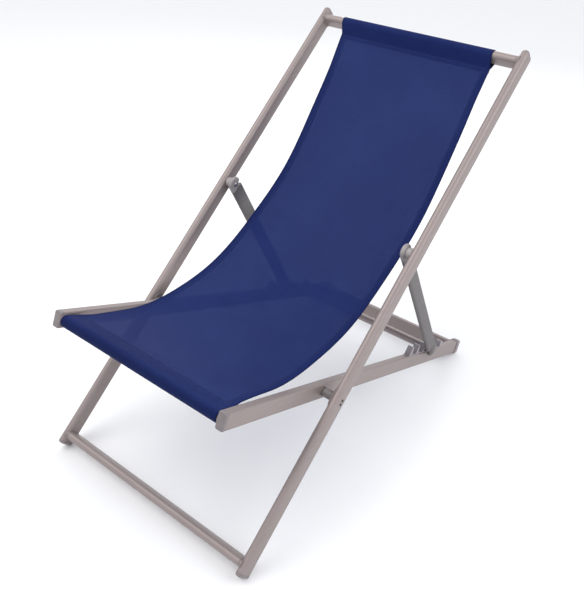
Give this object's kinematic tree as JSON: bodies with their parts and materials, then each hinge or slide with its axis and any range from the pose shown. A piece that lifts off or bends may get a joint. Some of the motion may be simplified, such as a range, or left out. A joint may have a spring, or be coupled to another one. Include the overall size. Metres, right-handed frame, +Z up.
{
  "type": "folding deck chair",
  "caption": "Folding deck chair with an aluminium tube frame, a mesh fabric sling and a brace that rests in a toothed comb.",
  "frame": {"origin": "the middle of the footprint, on the floor", "axes": "+Z up; the sitter faces -Y; X runs across the chair and +X is the sitter's left"},
  "size_m": [0.6038, 1.0313, 0.9198],
  "materials": {
    "aluminium": "satin",
    "brace_aluminium": "satin",
    "steel": "satin",
    "dark_steel": "satin",
    "smoke_plastic": "matte",
    "grey_plastic": "matte",
    "pale_plastic": "matte",
    "mesh_fabric": "woven coated mesh"
  },
  "bodies": {
    "back_frame": {"back_tube_left": "aluminium", "back_tube_right": "aluminium", "head_cap_left": "grey_plastic", "head_cap_right": "grey_plastic", "front_foot_left": "grey_plastic", "front_foot_right": "grey_plastic", "pivot_block_left": "grey_plastic", "pivot_block_right": "grey_plastic", "pivot_rivet_1_left": "dark_steel", "pivot_rivet_1_right": "dark_steel", "pivot_rivet_2_left": "dark_steel", "pivot_rivet_2_right": "dark_steel", "scissor_pin_left": "steel", "scissor_pin_right": "steel", "scissor_washer_left": "steel", "scissor_washer_right": "steel", "brace_bolt_left": "steel", "brace_bolt_right": "steel", "brace_spacer_left": "pale_plastic", "brace_spacer_right": "pale_plastic", "brace_nut_left": "steel", "brace_nut_right": "steel", "head_crossbar": "aluminium", "foot_crossbar": "aluminium", "sling": "mesh_fabric"},
    "seat_frame": {"seat_rail_left": "aluminium", "seat_rail_right": "aluminium", "rail_front_cap_left": "grey_plastic", "rail_front_cap_right": "grey_plastic", "rear_foot_left": "grey_plastic", "rear_foot_right": "grey_plastic", "comb_left": "smoke_plastic", "comb_right": "smoke_plastic", "comb_screw_1_left": "steel", "comb_screw_1_right": "steel", "comb_screw_2_left": "steel", "comb_screw_2_right": "steel", "seat_front_bar": "aluminium", "rear_crossbar": "aluminium"},
    "brace": {"brace_leg_left": "brace_aluminium", "brace_leg_right": "brace_aluminium", "brace_top_cap_left": "pale_plastic", "brace_top_cap_right": "pale_plastic", "brace_end_cap_left": "brace_aluminium", "brace_end_cap_right": "brace_aluminium", "brace_bar": "aluminium"}
  },
  "joints": [
    {"name": "frame_fold", "type": "hinge", "parent": "back_frame", "child": "seat_frame", "pos_m": [0, -0.1992, 0.28798], "axis": [1, 0, 0], "range_deg": [0, 55], "deforming": ["sling"]},
    {"name": "brace_swing", "type": "hinge", "parent": "back_frame", "child": "brace", "pos_m": [0, 0.06789, 0.53084], "axis": [1, 0, 0], "range_deg": [0, 96.8]}
  ],
  "couplings": [
    {"joint": "brace_swing", "follows": "frame_fold", "ratio": 1.76}
  ]
}
